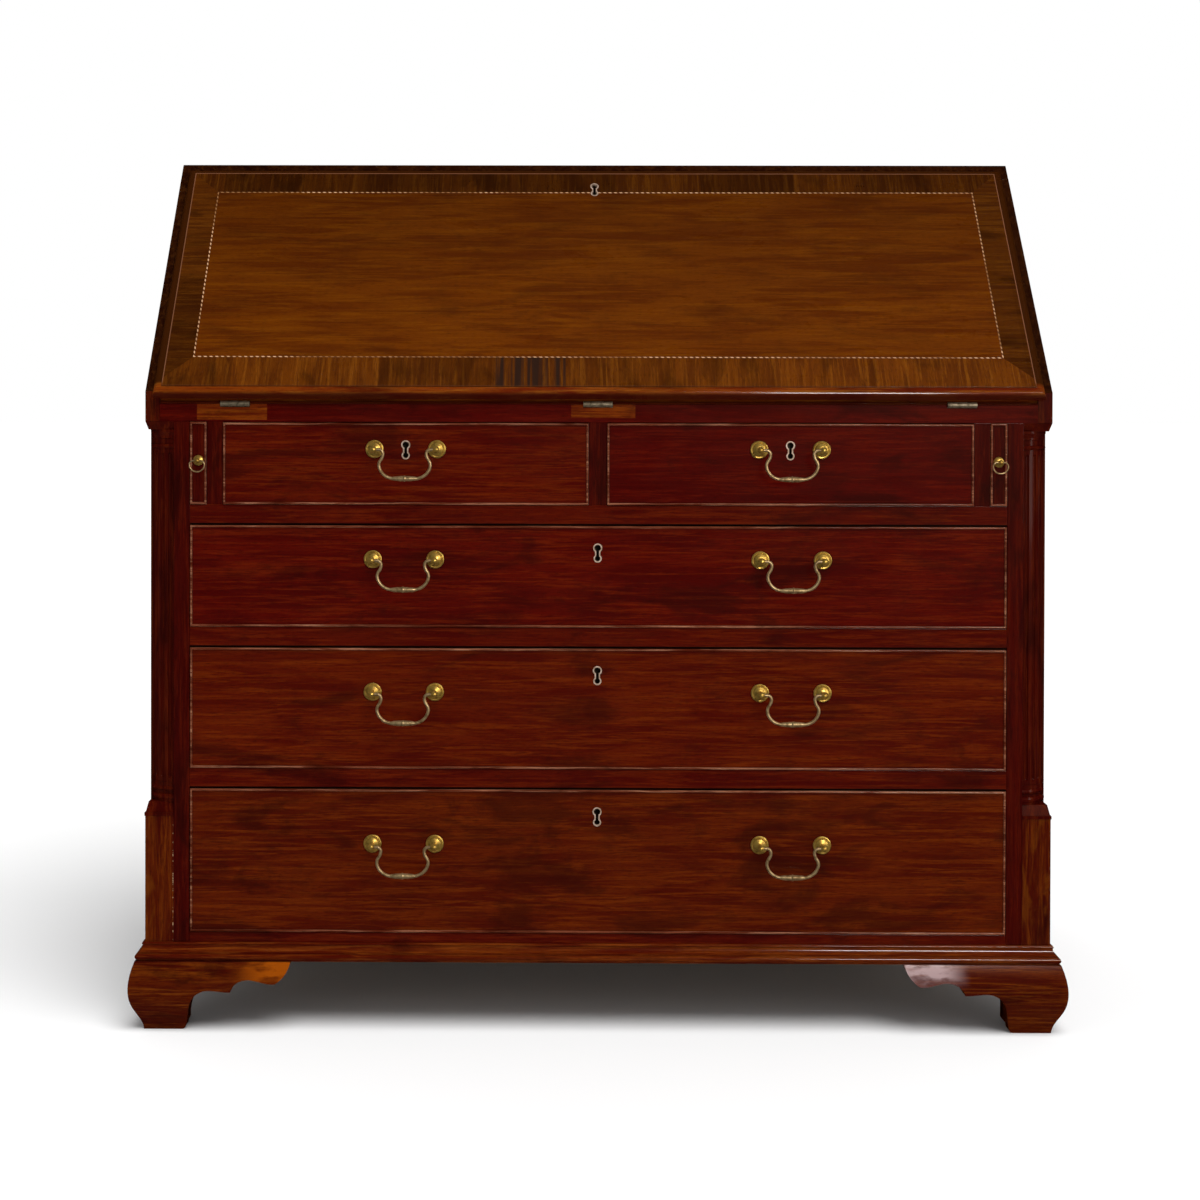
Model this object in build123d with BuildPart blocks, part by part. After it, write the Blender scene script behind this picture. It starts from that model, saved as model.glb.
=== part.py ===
from build123d import *
from math import cos, radians, sin, tan
import os

# A fall-front bureau in mahogany. Millimetres, +Z up, the front faces -Y, the origin is on the floor
# under the middle of the desk.

# Overall sizes
case_width = 1118
case_depth = 559
overall_height = 1097
writing_height = 774
slope_angle = 50
handle_reach = 24.3
glue_line = 0.05

half_width = case_width / 2
front = (handle_reach - case_depth) / 2
back = front + case_depth

# Board thicknesses
side_thick = 18
top_thick = 20
writing_thick = 22
back_thick = 12
dustboard_thick = 12
bottom_thick = 16

# Levels up the case
foot_height = 86
moulding_top = 108
column_foot = 264
rail_under_writing = writing_height - writing_thick
bottom_rail_top = 120.4
drawer_gap_below = 0.4
drawer_gap_above = 1.2

# The front, outwards from the middle
stile_inner = 504
notch = 35
corner_x = half_width - notch
side_inner = half_width - side_thick
loper_outer = 503.4
loper_inner = 483.2
divider_outer = 482.6
divider_inner = 463.2
centre_divider = 11
rail_depth = 60

# The slope: its plane carries the fall's inner face, and passes through the hinge line
slope_cos = cos(radians(slope_angle))
slope_sin = sin(radians(slope_angle))
slope_plane = Plane(
    origin=(0, front, writing_height), x_dir=(1, 0, 0), z_dir=(0, -slope_sin, slope_cos)
)
fall_thick = 22
rebate_depth = 10
side_slope = rebate_depth - 0.2
slope_start = writing_height + side_slope / slope_cos
top_underside = overall_height - top_thick


def slope_y(height):
    """How far back the sloping edge of a side is at a height."""
    return front + (height - slope_start) / tan(radians(slope_angle))


def board(x0, x1, y0, y1, z0, z1, mode=Mode.ADD):
    """A plain board between two corners, in the block that is open."""
    low_x, high_x = sorted((x0, x1))
    with Locations(((low_x + high_x) / 2, (y0 + y1) / 2, (z0 + z1) / 2)):
        Box(high_x - low_x, y1 - y0, z1 - z0, mode=mode)


def save(part, name):
    part.label = name
    export_step(part, f"parts/{name}.step")


os.makedirs("parts", exist_ok=True)

hands = {"left": -1, "right": 1}

# ---------------------------------------------------------------- the case

# Sides: one board each, notched at the front corner for the quarter column, sloped above
for hand, sign in hands.items():
    with BuildPart() as side:
        with BuildSketch(Plane.YZ.offset(sign * side_inner)):
            with BuildLine():
                Polyline(
                    (front, foot_height),
                    (front, moulding_top),
                    (front + notch, moulding_top),
                    (front + notch, rail_under_writing),
                    (front, rail_under_writing),
                    (front, slope_start),
                    (slope_y(top_underside), top_underside),
                    (back, top_underside),
                    (back, foot_height),
                    close=True,
                )
            make_face()
        extrude(amount=sign * side_thick)
    save(side.part, f"side_{hand}")

# Top board: runs over the sides, its front edge planed to the slope, mortised for the fall's bolt
bolt_room = 15
with BuildPart() as top_board:
    with BuildSketch(Plane.YZ.offset(-half_width)):
        with BuildLine():
            Polyline(
                (slope_y(top_underside), top_underside),
                (slope_y(overall_height), overall_height),
                (back, overall_height),
                (back, top_underside),
                close=True,
            )
        make_face()
    extrude(amount=case_width)
    with BuildSketch(slope_plane.offset(1.5)):
        with Locations((0, 390)):
            Rectangle(2 * bolt_room, 16)
    extrude(amount=7, mode=Mode.SUBTRACT)
save(top_board.part, "top_board")

# Hinges of the fall: the knuckle line is the front top edge of the writing board
hinge_places = (-448, 0, 448)
hinge_half = 18
leaf_length = 30
leaf_thick = 2
knuckle_radius = 3.5
knuckle_relief = 3.9
middle_knuckle = 6
hinge_pin_radius = 1.0

# Writing board: a mahogany front strip, whose edge is the top rail, and the board behind it
front_strip = 70
short_drawer_centre = 237.1
drawer_bolt_half = 13
drawer_bolt_back = 13.5
drawer_bolt_thick = 5


def lock_mortise(centre_x, underside):
    """The slot that a drawer's lock bolt shoots up into."""
    board(
        centre_x - drawer_bolt_half - 2,
        centre_x + drawer_bolt_half + 2,
        front + drawer_bolt_back - 1.5,
        front + drawer_bolt_back + drawer_bolt_thick + 1.5,
        underside,
        underside + 9,
        mode=Mode.SUBTRACT,
    )


with BuildPart() as writing_board:
    board(-side_inner, side_inner, front, front + front_strip, rail_under_writing, writing_height)
    for place in hinge_places:
        board(
            place - hinge_half - glue_line,
            place + hinge_half + glue_line,
            front,
            front + leaf_length + glue_line,
            writing_height - leaf_thick - glue_line,
            writing_height,
            mode=Mode.SUBTRACT,
        )
        with BuildSketch(Plane.YZ.offset(place - hinge_half - 0.3)):
            with Locations((front, writing_height)):
                Circle(knuckle_relief)
        extrude(amount=2 * (hinge_half + 0.3), mode=Mode.SUBTRACT)
    for centre_x in (-short_drawer_centre, short_drawer_centre):
        lock_mortise(centre_x, rail_under_writing)
    board(
        -side_inner,
        side_inner,
        front + front_strip + glue_line,
        back - back_thick - glue_line,
        rail_under_writing,
        writing_height,
    )
save(writing_board.part, "writing_board")

# Drawers, from the top row down: height of the front's lower and upper edge
row_heights = {"top": (650, 750.8), "upper": (499, 624), "middle": (324, 472.6), "lower": (121, 298)}
long_half = 503.2
cockbead = 2.5

# Rails between the rows, each mortised for the bolt of the drawer below it
rail_spans = [
    (row_heights[below][1] + drawer_gap_above, row_heights[above][0] - drawer_gap_below)
    for below, above in (("lower", "middle"), ("middle", "upper"), ("upper", "top"))
]
with BuildPart() as drawer_rails:
    board(-stile_inner, stile_inner, front, front + rail_depth - glue_line, foot_height, bottom_rail_top)
    for sign in hands.values():
        board(
            sign * stile_inner,
            sign * side_inner,
            front,
            front + rail_depth - glue_line,
            foot_height,
            moulding_top,
        )
    for low, high in rail_spans:
        board(-stile_inner, stile_inner, front, front + rail_depth - glue_line, low, high)
        lock_mortise(0, low)
save(drawer_rails.part, "drawer_rails")

# Uprights: a stile and the packing behind each column, the loper dividers, the middle divider
divider_depth = 470
with BuildPart() as uprights:
    for sign in hands.values():
        board(
            sign * (stile_inner + glue_line),
            sign * (corner_x - glue_line),
            front,
            front + rail_depth - glue_line,
            moulding_top,
            rail_under_writing,
        )
        board(
            sign * corner_x,
            sign * side_inner,
            front + notch,
            front + rail_depth - glue_line,
            moulding_top,
            rail_under_writing,
        )
        board(
            sign * divider_inner,
            sign * divider_outer,
            front,
            front + divider_depth,
            row_heights["top"][0] - drawer_gap_below,
            rail_under_writing,
        )
    board(
        -centre_divider,
        centre_divider,
        front,
        front + divider_depth,
        row_heights["top"][0] - drawer_gap_below,
        rail_under_writing,
    )
save(uprights.part, "uprights")

with BuildPart() as bottom_board:
    board(
        -side_inner,
        side_inner,
        front + rail_depth,
        back - back_thick - glue_line,
        bottom_rail_top - bottom_thick,
        bottom_rail_top,
    )
save(bottom_board.part, "bottom_board")

# Dustboards that the drawers run on, flush with the rails, and the guides beside the drawers
guide_height = 22
with BuildPart() as dustboards:
    for low, high in rail_spans:
        board(
            -side_inner,
            side_inner,
            front + rail_depth,
            back - back_thick - glue_line,
            high - dustboard_thick,
            high,
        )
    for level in [bottom_rail_top] + [high for low, high in rail_spans]:
        for sign in hands.values():
            board(
                sign * stile_inner,
                sign * (side_inner - glue_line),
                front + rail_depth,
                back - back_thick - 2,
                level + glue_line,
                level + guide_height,
            )
save(dustboards.part, "dustboards")

# Back: horizontal boards butted together, nailed into the rebates of the sides
back_edges = (foot_height, 315, 545, writing_height, 925, top_underside)
with BuildPart() as back_boards:
    for low, high in zip(back_edges, back_edges[1:]):
        board(
            -side_inner,
            side_inner,
            back - back_thick,
            back,
            low + glue_line,
            high - 6 * glue_line,
        )
save(back_boards.part, "back_boards")

# Quarter columns: the axis stands in the inner corner of the notch
column_radius = 32
shaft_bottom = 305
shaft_top = 719
capital_top = 742
flute_count = 5
flute_radius = 2.7
base_profile = [(33, 281.05), (33, 283), (34.2, 285.5), (34.2, 287.5), (33, 290), (31.5, 290.8), (31.5, 294)]
base_profile += [(33.2, 295), (34, 297), (33.2, 299.5), (32.6, 300), (32.6, 304.95)]
shaft_profile = [(column_radius, shaft_bottom), (column_radius, shaft_top)]
capital_profile = [(32.4, 719.05), (33.4, 719.8), (34.2, 721.6), (33.4, 723.6), (31.6, 724.2), (31.6, 731)]
capital_profile += [(32.8, 731.6), (32.8, 734), (33.4, 737), (34.4, 739.2), (34.4, 741.95)]


def turned(plane, profile):
    """The half outline of a turned piece, as (radius, height) points, closed along its axis."""
    with BuildSketch(plane) as outline:
        with BuildLine():
            Polyline((0, profile[0][1]), *profile, (0, profile[-1][1]), close=True)
        make_face()
    return outline.sketch


for hand, sign in hands.items():
    axis_x = sign * corner_x
    axis_y = front + notch
    column_plane = Plane(origin=(axis_x, axis_y, 0), x_dir=(sign, 0, 0), z_dir=(0, -sign, 0))
    turn = Axis((axis_x, axis_y, 0), (0, 0, -sign))
    with BuildPart() as column:
        for profile in (base_profile, shaft_profile, capital_profile):
            revolve(turned(column_plane, profile), axis=turn, revolution_arc=90)
        for flute in range(flute_count):
            angle = radians(90 / flute_count * (flute + 0.5))
            flute_x = axis_x + sign * (column_radius + 0.6) * cos(angle)
            flute_y = axis_y - (column_radius + 0.6) * sin(angle)
            with Locations((flute_x, flute_y, (shaft_bottom + shaft_top) / 2)):
                Cylinder(flute_radius, shaft_top - shaft_bottom - 16, mode=Mode.SUBTRACT)
            for end_height in (shaft_bottom + 8, shaft_top - 8):
                with Locations((flute_x, flute_y, end_height)):
                    Sphere(flute_radius, mode=Mode.SUBTRACT)
        # Plinth block, with a cap that narrows to the column's base
        board(
            axis_x,
            sign * half_width,
            front,
            axis_y - glue_line,
            moulding_top + glue_line,
            column_foot,
        )
        board(
            axis_x,
            sign * (half_width + 0.8),
            front - 0.8,
            axis_y - glue_line,
            column_foot + glue_line,
            column_foot + 4,
        )
        for low, high, wide, narrow in ((column_foot + 4.05, 281, 34.6, 31.4), (742, 751.9, 31.6, 34.9)):
            for height, reach in ((low, wide), (high, narrow)):
                with BuildSketch(Plane.XY.offset(height)):
                    with Locations((axis_x + sign * reach / 2, axis_y - glue_line - reach / 2)):
                        Rectangle(reach, reach)
            loft()
    save(column.part, f"column_{hand}")

# Base moulding: three mitred lengths of an ovolo over a torus
mitre_gap = 0.05


def moulding_section(plane, edge, out):
    """The section of the base moulding; edge is the case's face and out the direction away from it."""
    with BuildSketch(plane) as section:
        with BuildLine():
            foot = Polyline((edge, foot_height), (edge + out * 8, foot_height), (edge + out * 8, 88))
            torus = ThreePointArc(foot @ 1, (edge + out * 11, 91.5), (edge + out * 8.6, 95))
            fillet_line = Polyline(torus @ 1, (edge + out * 7.2, 95), (edge + out * 7.2, 97.2))
            cove = ThreePointArc(fillet_line @ 1, (edge + out * 4.2, 99.6), (edge + out * 2.6, 104))
            neck = Line(cove @ 1, (edge + out * 2.6, 105))
            bead = ThreePointArc(neck @ 1, (edge + out * 3.4, 106.5), (edge + out * 2.2, moulding_top))
            Polyline(bead @ 1, (edge, moulding_top), (edge, foot_height))
        make_face()
    return section.sketch


def mitre_plane(sign, corner, depth, gap):
    """The upright plane through an outer front corner that halves its right angle."""
    return Plane(
        origin=(sign * (corner - gap), depth - gap, 0), x_dir=(0, 0, 1), z_dir=(sign, 1, 0)
    )


with BuildPart() as front_moulding:
    extrude(moulding_section(Plane.YZ.offset(-half_width - 20), front, -1), amount=case_width + 40)
    for sign in hands.values():
        split(bisect_by=mitre_plane(sign, half_width, front, mitre_gap), keep=Keep.BOTTOM)
side_mouldings = []
for sign in hands.values():
    with BuildPart() as side_moulding:
        extrude(moulding_section(Plane.XZ.offset(-back), sign * half_width, sign), amount=case_depth + 20)
        split(bisect_by=mitre_plane(sign, half_width, front, 0), keep=Keep.TOP)
    side_mouldings.append(side_moulding.part)
with BuildPart() as base_moulding:
    add(front_moulding.part)
    for length in side_mouldings:
        add(length)
save(base_moulding.part, "base_moulding")

# Feet: ogee brackets with a scrolled lower edge, mitred at the front corners
bracket_thick = 16
bracket_reach = 181.5
ogee_out = 18.2


def ogee_section(plane, edge, out):
    """The section of an ogee bracket: swelling out under the moulding, then drawn in to the floor."""
    with BuildSketch(plane) as section:
        with BuildLine():
            belly = Spline(
                (edge + out * 11.3, foot_height),
                (edge + out * 15.8, 72),
                (edge + out * ogee_out, 50),
                (edge + out * 15.2, 34),
                (edge + out * 8.5, 20),
                (edge + out * 3.2, 9),
                (edge + out * 1.2, 0),
            )
            inner = edge - out * bracket_thick
            Polyline(belly @ 1, (inner, 0), (inner, foot_height), belly @ 0)
        make_face()
    return section.sketch


def bracket_outline(plane, corner, inward, outer):
    """The scrolled outline of a bracket; inward is the direction from the corner to its tip."""

    def at(reach, height):
        return (corner + inward * reach, height)

    with BuildSketch(plane) as outline:
        with BuildLine():
            tip = Spline(at(bracket_reach, foot_height + 1), at(176, 73), at(163, 60.5))
            lobe = Spline(tip @ 1, at(149, 61.6), at(128, 65.3), at(116, 61.5), at(108, 50.5))
            scoop = Spline(lobe @ 1, at(93, 51.2), at(76, 51.6), at(64.5, 46), at(57.5, 35), at(54, 20), at(51, 6))
            sole = Spline(scoop @ 1, at(49.5, 1.8), at(45, 0))
            Polyline(sole @ 1, at(-outer, 0), at(-outer, foot_height + 1), tip @ 0)
        make_face()
    return outline.sketch


feet = {"front": [], "rear": []}
for sign in hands.values():
    with BuildPart() as front_bracket:
        section = ogee_section(Plane.YZ.offset(sign * (half_width + 25)), front, -1)
        extrude(section, amount=-sign * (bracket_reach + 26))
        outline = bracket_outline(Plane.XZ.offset(-front - 30), sign * half_width, -sign, 26)
        extrude(outline, amount=60, mode=Mode.INTERSECT)
        split(bisect_by=mitre_plane(sign, half_width, front, mitre_gap), keep=Keep.BOTTOM)
    with BuildPart() as side_bracket:
        section = ogee_section(Plane.XZ.offset(-front - bracket_reach - 1), sign * half_width, sign)
        extrude(section, amount=bracket_reach + 26)
        outline = bracket_outline(Plane.YZ.offset(sign * (half_width - 30)), front, 1, 26)
        extrude(outline, amount=sign * 60, mode=Mode.INTERSECT)
        split(bisect_by=mitre_plane(sign, half_width, front, 0), keep=Keep.TOP)
    with BuildPart() as rear_side_bracket:
        section = ogee_section(Plane.XZ.offset(-back), sign * half_width, sign)
        extrude(section, amount=bracket_reach + 1)
        outline = bracket_outline(Plane.YZ.offset(sign * (half_width - 30)), back, -1, 0)
        extrude(outline, amount=sign * 60, mode=Mode.INTERSECT)
    inner_face = half_width - bracket_thick - glue_line
    with BuildPart() as back_bracket:
        extrude(bracket_outline(Plane.XZ.offset(-back), sign * inner_face, -sign, 0), amount=20)
        board(-half_width, half_width, back - 30, back, foot_height, foot_height + 5, mode=Mode.SUBTRACT)
    block = 34
    for row, near in (("front", front + bracket_thick + glue_line), ("rear", back - 20 - glue_line - block)):
        with BuildPart() as glue_block:
            board(sign * inner_face, sign * (inner_face - block), near, near + block, 5, foot_height)
            chamfer(glue_block.edges().filter_by(Axis.Z).sort_by(Axis.X)[0 if sign > 0 else -1], 12)
        feet[row].append(glue_block.part)
    feet["front"] += [front_bracket.part, side_bracket.part]
    feet["rear"] += [rear_side_bracket.part, back_bracket.part]
for row, pieces in feet.items():
    with BuildPart() as row_of_feet:
        for piece in pieces:
            add(piece)
    save(row_of_feet.part, f"feet_{row}")

# ---------------------------------------------------------------- the fall

# Board: the lip stands over the sides and the top, with a thumbnail bead worked round its edge
fall_half = 548.5
fall_length = 396
fall_inner_half = 540.3
fall_inner_length = 386.5
fall_clearance = 0.4
bead_width = 11
bead_step = 1.5
bead_round = 8
string_half = 503.5
string_low = 57.4
string_high = 349
string_width = 1.5
string_depth = 1
fall_lock_foot = 340
fall_lock_depth = 9
fall_keyhole = 354
lock_half = 32


def on_slope(half, low, high, level=0.0, centre_x=0):
    """A rectangle between two distances up the slope, at a level above the fall's inner face."""
    with BuildSketch(slope_plane.offset(level)) as rectangle:
        with Locations((centre_x, (low + high) / 2)):
            Rectangle(2 * half, high - low)
    return rectangle.sketch


def keyhole(plane, wall=0.0):
    """A keyhole: a round eye over a straight shank that ends in a smaller round."""
    with BuildSketch(plane) as hole:
        with Locations((0, 6)):
            Circle(5.6 - wall)
        with Locations((0, -7)):
            Circle(5 - wall)
        Rectangle(6.6 - 2 * wall, 13)
    return hole.sketch


def stringing():
    """The inlaid line, a rectangle of one width all round."""
    with BuildSketch(slope_plane.offset(fall_thick - string_depth)) as line:
        with Locations((0, (string_low + string_high) / 2)):
            Rectangle(2 * string_half, string_high - string_low)
            inner_height = string_high - string_low - 2 * string_width
            Rectangle(2 * (string_half - string_width), inner_height, mode=Mode.SUBTRACT)
    return line.sketch


keyhole_origin = slope_plane.from_local_coords((0, fall_keyhole, 0))
keyhole_plane = Plane(origin=keyhole_origin, x_dir=(1, 0, 0), z_dir=slope_plane.z_dir)
thread_wall = 1.6
thread_in = 3
thread_out = 0.4

with BuildPart() as fall_board:
    extrude(on_slope(fall_inner_half, fall_clearance, fall_inner_length), amount=rebate_depth)
    lip = on_slope(fall_half, fall_clearance, fall_length, rebate_depth)
    extrude(lip, amount=fall_thick - bead_step - rebate_depth)
    outer_face = fall_board.faces().sort_by(Axis((0, 0, 0), tuple(slope_plane.z_dir)))[-1]
    fillet(outer_face.edges(), bead_round)
    field = on_slope(
        fall_half - bead_width, fall_clearance + bead_width, fall_length - bead_width, fall_thick - bead_step
    )
    extrude(field, amount=bead_step)
    # Hollow under the lip, along the hinge edge
    extrude(on_slope(fall_inner_half, 0, 5.5, 2.6), amount=6.4, mode=Mode.SUBTRACT)
    extrude(stringing(), amount=string_depth, mode=Mode.SUBTRACT)
    for place in hinge_places:
        recess = on_slope(hinge_half + glue_line, 0, leaf_length + glue_line, 0, place)
        extrude(recess, amount=leaf_thick + glue_line, mode=Mode.SUBTRACT)
        with BuildSketch(Plane.YZ.offset(place - hinge_half - 0.3)):
            with Locations((front, writing_height)):
                Circle(knuckle_relief)
        extrude(amount=2 * (hinge_half + 0.3), mode=Mode.SUBTRACT)
    lock_bed = on_slope(lock_half, fall_lock_foot, fall_inner_length)
    extrude(lock_bed, amount=fall_lock_depth, mode=Mode.SUBTRACT)
    extrude(keyhole(keyhole_plane.offset(fall_lock_depth)), amount=fall_thick, mode=Mode.SUBTRACT)
save(fall_board.part, "fall_board")

with BuildPart() as fall_stringing:
    extrude(stringing(), amount=string_depth)
    extrude(keyhole(keyhole_plane), amount=fall_thick, mode=Mode.SUBTRACT)
save(fall_stringing.part, "fall_stringing")


def knuckle_circle(start_x, radius):
    """A circle round the hinge line, on the upright plane at start_x."""
    with BuildSketch(Plane.YZ.offset(start_x)) as circle:
        with Locations((front, writing_height)):
            Circle(radius)
    return circle.sketch


# Hinges: leaves let in flush, the outer knuckles and the pin on the case, the middle one on the fall
with BuildPart() as hinge_leaves_case:
    for place in hinge_places:
        board(
            place - hinge_half,
            place + hinge_half,
            front,
            front + leaf_length,
            writing_height - leaf_thick,
            writing_height,
        )
        extrude(knuckle_circle(place - hinge_half, knuckle_radius), amount=2 * hinge_half)
        room = knuckle_circle(place - middle_knuckle - 0.15, knuckle_relief)
        extrude(room, amount=2 * (middle_knuckle + 0.15), mode=Mode.SUBTRACT)
        extrude(knuckle_circle(place - hinge_half, hinge_pin_radius), amount=2 * hinge_half)
save(hinge_leaves_case.part, "hinge_leaves_case")

with BuildPart() as fall_hinge_leaves:
    for place in hinge_places:
        extrude(on_slope(hinge_half, 0.2, leaf_length, 0, place), amount=leaf_thick)
        outer_width = hinge_half - middle_knuckle + 0.3
        for start_x in (place - hinge_half - 0.2, place + middle_knuckle - 0.1):
            extrude(knuckle_circle(start_x, knuckle_relief), amount=outer_width, mode=Mode.SUBTRACT)
        extrude(knuckle_circle(place - middle_knuckle, knuckle_radius), amount=2 * middle_knuckle)
        bore = knuckle_circle(place - hinge_half, hinge_pin_radius + 0.06)
        extrude(bore, amount=2 * hinge_half, mode=Mode.SUBTRACT)
save(fall_hinge_leaves.part, "fall_hinge_leaves")

# Lock of the fall: a case let into its inner face, and the brass thread that lines the keyhole
fall_bolt_level = 2.5
with BuildPart() as fall_lock:
    bed = on_slope(lock_half - glue_line, fall_lock_foot + glue_line, fall_inner_length)
    extrude(bed, amount=fall_lock_depth - glue_line)
    slot = on_slope(drawer_bolt_half + 0.3, 362, fall_inner_length + 1, fall_bolt_level - 0.3)
    extrude(slot, amount=drawer_bolt_thick + 0.6, mode=Mode.SUBTRACT)
    thread_back = keyhole_plane.offset(fall_thick - thread_in)
    extrude(keyhole(thread_back), amount=thread_in + thread_out)
    extrude(keyhole(thread_back, thread_wall), amount=thread_in + thread_out, mode=Mode.SUBTRACT)
save(fall_lock.part, "fall_lock")

with BuildPart() as fall_lock_bolt:
    bolt = on_slope(drawer_bolt_half, 363, fall_inner_length - 0.3, fall_bolt_level)
    extrude(bolt, amount=drawer_bolt_thick)
save(fall_lock_bolt.part, "fall_lock_bolt")

# ---------------------------------------------------------------- handles and cockbeads

cockbead_in = 10
cockbead_out = 2


def cockbead_frame(x0, x1, z0, z1):
    """A rounded bead mitred round a front and let into its edges, standing proud of it."""
    with BuildPart() as frame:
        with BuildSketch(Plane.XZ.offset(-front - cockbead_in + glue_line)):
            with Locations(((x0 + x1) / 2, (z0 + z1) / 2)):
                Rectangle(abs(x1 - x0), z1 - z0)
                Rectangle(abs(x1 - x0) - 2 * cockbead, z1 - z0 - 2 * cockbead, mode=Mode.SUBTRACT)
        extrude(amount=cockbead_in - glue_line + cockbead_out)
        fillet(frame.faces().sort_by(Axis.Y)[0].edges(), 1.15)
    return frame.part


def rebated_front(x0, x1, z0, z1, thickness):
    """The board behind a cockbead: full size at the back, a bead's width smaller in front."""
    low_x, high_x = sorted((x0, x1))
    edge = cockbead + glue_line
    board(low_x, high_x, front + cockbead_in, front + thickness, z0, z1)
    board(low_x + edge, high_x - edge, front, front + cockbead_in, z0 + edge, z1 - edge)


def post(x, z, profile, reach, eye_radius, bore_radius):
    """A turned rosette with its stem and shank, and the bored eye that a handle hangs in."""
    plane = Plane(origin=(x, front, z), x_dir=(1, 0, 0), z_dir=(0, 0, -1))
    with BuildPart() as turning:
        revolve(turned(plane, profile), axis=Axis((x, front, z), (0, -1, 0)))
        with Locations((x, front - reach, z)):
            Sphere(eye_radius, rotation=(90, 0, 0))
            Cylinder(bore_radius, 4 * eye_radius, rotation=(0, 90, 0), mode=Mode.SUBTRACT)
    return turning.part


def hung_wire(x, y, z, points, radius):
    """Half of a handle's wire: straight through the eye, then arcs from point to point."""
    plane = Plane(origin=(x, y, z), x_dir=(1, 0, 0), z_dir=(0, -1, 0))
    with BuildPart() as wire:
        with BuildLine(plane) as path:
            last = Line(points[0], points[1])
            for point in points[2:]:
                last = TangentArc(last @ 1, plane.from_local_coords((*point, 0)), tangent=last % 1)
        with BuildSketch(Plane(origin=path.wires()[0] @ 0, z_dir=path.wires()[0] % 0)):
            Circle(radius)
        sweep(path=path.wires()[0])
    return wire.part


shank_radius = 2
front_thick = 20
post_reach = 20
post_spacing = 77
bail_radius = 1.9
rosette_profile = [(shank_radius, -front_thick - 4), (shank_radius, 0.02), (11, 0.02), (11, 1.2), (9.8, 1.9)]
rosette_profile += [(8.8, 1.7), (7.4, 3.4), (4.6, 4.7), (2.9, 5.2), (2.5, 7), (2.5, post_reach - 2.5)]
bail_path = [(42.2, 0), (31.8, 0), (26.6, -5.6), (29.4, -13), (31.2, -21.5), (24.6, -31.6), (11, -35.6), (0, -35.5)]
belly_profile = [(1.6, -17), (2.6, -12), (3.2, -6), (3.3, -1.6), (3.9, 0), (3.3, 1.6), (3.2, 6), (2.6, 12), (1.6, 17)]


def bail(x, z, name):
    """A swan-neck bail: two necks of drawn wire that swell into a ridged grip."""
    half = hung_wire(x, front - post_reach, z, bail_path, bail_radius)
    with BuildPart() as handle:
        add(half)
        mirror(half, about=Plane.YZ.offset(x))
        grip_plane = Plane(origin=(x, front - post_reach, z - 35.6), x_dir=(0, 0, 1), z_dir=(0, -1, 0))
        grip = turned(grip_plane, [(radius, -along) for radius, along in belly_profile])
        revolve(grip, axis=Axis((x, front - post_reach, z - 35.6), (1, 0, 0)))
    save(handle.part, name)


# Lopers: bars that slide out under the open fall, each with a cockbeaded end, a stud and a drop
loper_length = 430
loper_low = 650
loper_high = rail_under_writing - 0.4
loper_stud_height = 704
stud_reach = 11
stud_profile = [(1.6, -18), (1.6, 0.02), (6.5, 0.02), (6.5, 0.9), (5.6, 2.3), (3.6, 3.3), (2, 3.7)]
stud_profile += [(1.9, stud_reach - 1.8)]
drop_path = [(0.3, 0), (4.4, 0), (9.2, -4.6), (7.4, -10.2), (0, -13.6)]
for hand, sign in hands.items():
    stud_x = sign * (loper_outer + loper_inner) / 2
    with BuildPart() as loper:
        rebated_front(sign * loper_inner, sign * loper_outer, loper_low, loper_high, loper_length)
        with Locations((stud_x, front + 9, loper_stud_height)):
            Cylinder(1.65, 20, rotation=(90, 0, 0), mode=Mode.SUBTRACT)
        add(cockbead_frame(sign * loper_inner, sign * loper_outer, loper_low, loper_high))
    save(loper.part, f"loper_{hand}")
    save(post(stud_x, loper_stud_height, stud_profile, stud_reach, 3.2, 0.97), f"loper_stud_{hand}")
    drop_half = hung_wire(stud_x, front - stud_reach, loper_stud_height, drop_path, 0.9)
    with BuildPart() as drop:
        add(drop_half)
        mirror(drop_half, about=Plane.YZ.offset(stud_x))
    save(drop.part, f"loper_drop_{hand}")

# ---------------------------------------------------------------- the drawers

short_inner = centre_divider + 0.6
short_outer = divider_inner - 0.6
long_handle = 239
drawers = {
    "top_left": ("top", -short_outer, -short_inner, {"bail": -short_drawer_centre}, -short_drawer_centre),
    "top_right": ("top", short_inner, short_outer, {"bail": short_drawer_centre}, short_drawer_centre),
}
for row in ("upper", "middle", "lower"):
    handles = {"bail_left": -long_handle, "bail_right": long_handle}
    drawers[row] = (row, -long_half, long_half, handles, 0)
handle_heights = {"top": 718.5, "upper": 582.4, "middle": 418.6, "lower": 230.8}
keyhole_below_top = 33
drawer_lock_front = 11
drawer_side = 10
drawer_back = front + 500
drawer_bottom_low = 6
drawer_bottom_high = 13

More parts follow.
